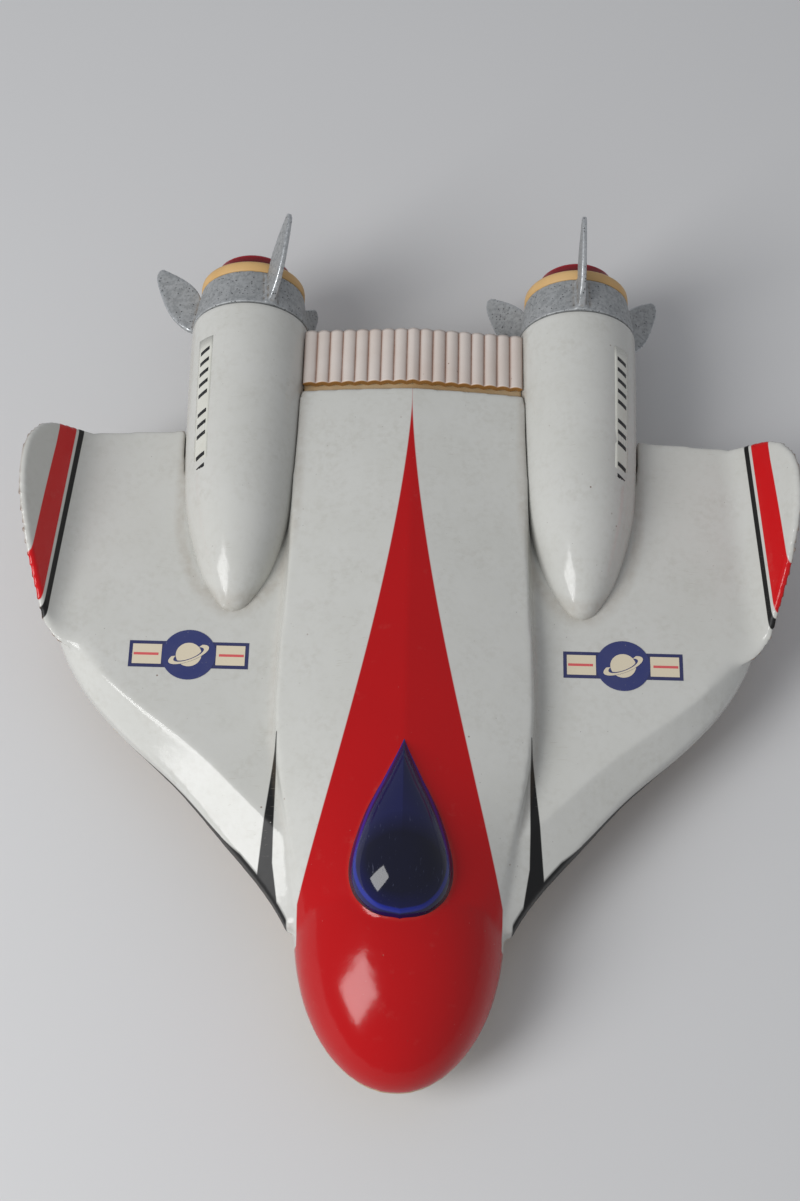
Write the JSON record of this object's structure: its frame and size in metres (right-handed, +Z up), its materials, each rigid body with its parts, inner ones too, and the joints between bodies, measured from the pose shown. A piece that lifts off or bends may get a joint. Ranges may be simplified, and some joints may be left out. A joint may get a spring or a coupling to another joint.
{
  "type": "toy space glider",
  "caption": "Flat-winged toy space glider with twin lamp pods, twist-off finned collars, canopy and a friction-drive undercarriage.",
  "frame": {"origin": "on the floor under the middle of the toy's bounding box", "axes": "+Z up, -Y towards the nose, +X towards the toy's left wing as the nose points at the viewer"},
  "size_m": [0.2646, 0.2983, 0.0747],
  "materials": {
    "white_shell": "aged white with red and black painted panels",
    "cream_shell": "yellowed cream",
    "blue_clear": "clear blue",
    "plated_casting": "worn, pitted plating",
    "cream_trim": "yellowed",
    "red_clear": "clear red",
    "bright_metal": "polished dish",
    "bulb_glass": "clear",
    "brass": "dull",
    "cell_jacket": "printed jacket, no marks",
    "steel": "zinc plated",
    "gear_plastic": "greased nylon",
    "cast_iron": "as cast, turned faces",
    "wheel_plastic": "moulded red",
    "tyre": "dusty black"
  },
  "bodies": {
    "hull": {"upper_hull": "white_shell", "lower_hull": "cream_shell", "ribbed_deck": "cream_shell", "canopy": "blue_clear", "left_pod": "white_shell", "right_pod": "white_shell", "left_cell": "cell_jacket", "right_cell": "cell_jacket", "left_spring": "steel", "right_spring": "steel", "left_strip": "brass", "right_strip": "brass", "hull_screws": "steel", "pod_screws": "steel", "drive_screws": "steel", "drive_plates": "steel", "drive_pillars": "steel", "idler_shaft": "steel", "front_axle": "steel"},
    "left_cap": {"left_collar": "plated_casting", "left_lens_ring": "cream_trim", "left_lens": "red_clear", "left_reflector": "bright_metal", "left_bulb": "bulb_glass", "left_bulb_base": "brass"},
    "right_cap": {"right_collar": "plated_casting", "right_lens_ring": "cream_trim", "right_lens": "red_clear", "right_reflector": "bright_metal", "right_bulb": "bulb_glass", "right_bulb_base": "brass"},
    "flywheel_group": {"flywheel": "cast_iron", "flywheel_shaft": "steel", "flywheel_pinion": "brass"},
    "idler_group": {"idler_gears": "gear_plastic"},
    "axle_group": {"rear_axle": "steel", "rear_wheels": "wheel_plastic", "rear_tyres": "tyre", "axle_gear": "gear_plastic"},
    "front_wheel_group": {"front_wheel": "wheel_plastic", "front_tyre": "tyre"}
  },
  "joints": [
    {"name": "left_collar_twist", "type": "hinge", "parent": "hull", "child": "left_cap", "pos_m": [-0.059, 0.1204, 0.038], "axis": [0, 1, 0], "range_deg": [-23, 17]},
    {"name": "right_collar_twist", "type": "hinge", "parent": "hull", "child": "right_cap", "pos_m": [0.059, 0.1204, 0.038], "axis": [0, 1, 0], "range_deg": [0, 40]},
    {"name": "flywheel_spin", "type": "hinge", "parent": "hull", "child": "flywheel_group", "pos_m": [0, 0.03975, 0.02753], "axis": [1, 0, 0], "continuous": true},
    {"name": "idler_spin", "type": "hinge", "parent": "hull", "child": "idler_group", "pos_m": [0, 0.0499, 0.02383], "axis": [1, 0, 0], "continuous": true},
    {"name": "rear_axle_spin", "type": "hinge", "parent": "hull", "child": "axle_group", "pos_m": [0, 0.055, 0.015], "axis": [1, 0, 0], "continuous": true},
    {"name": "front_wheel_spin", "type": "hinge", "parent": "hull", "child": "front_wheel_group", "pos_m": [0, -0.078, 0.012], "axis": [1, 0, 0], "continuous": true}
  ],
  "couplings": [
    {"joint": "idler_spin", "follows": "flywheel_spin", "ratio": -0.5},
    {"joint": "rear_axle_spin", "follows": "flywheel_spin", "ratio": 0.27273}
  ]
}
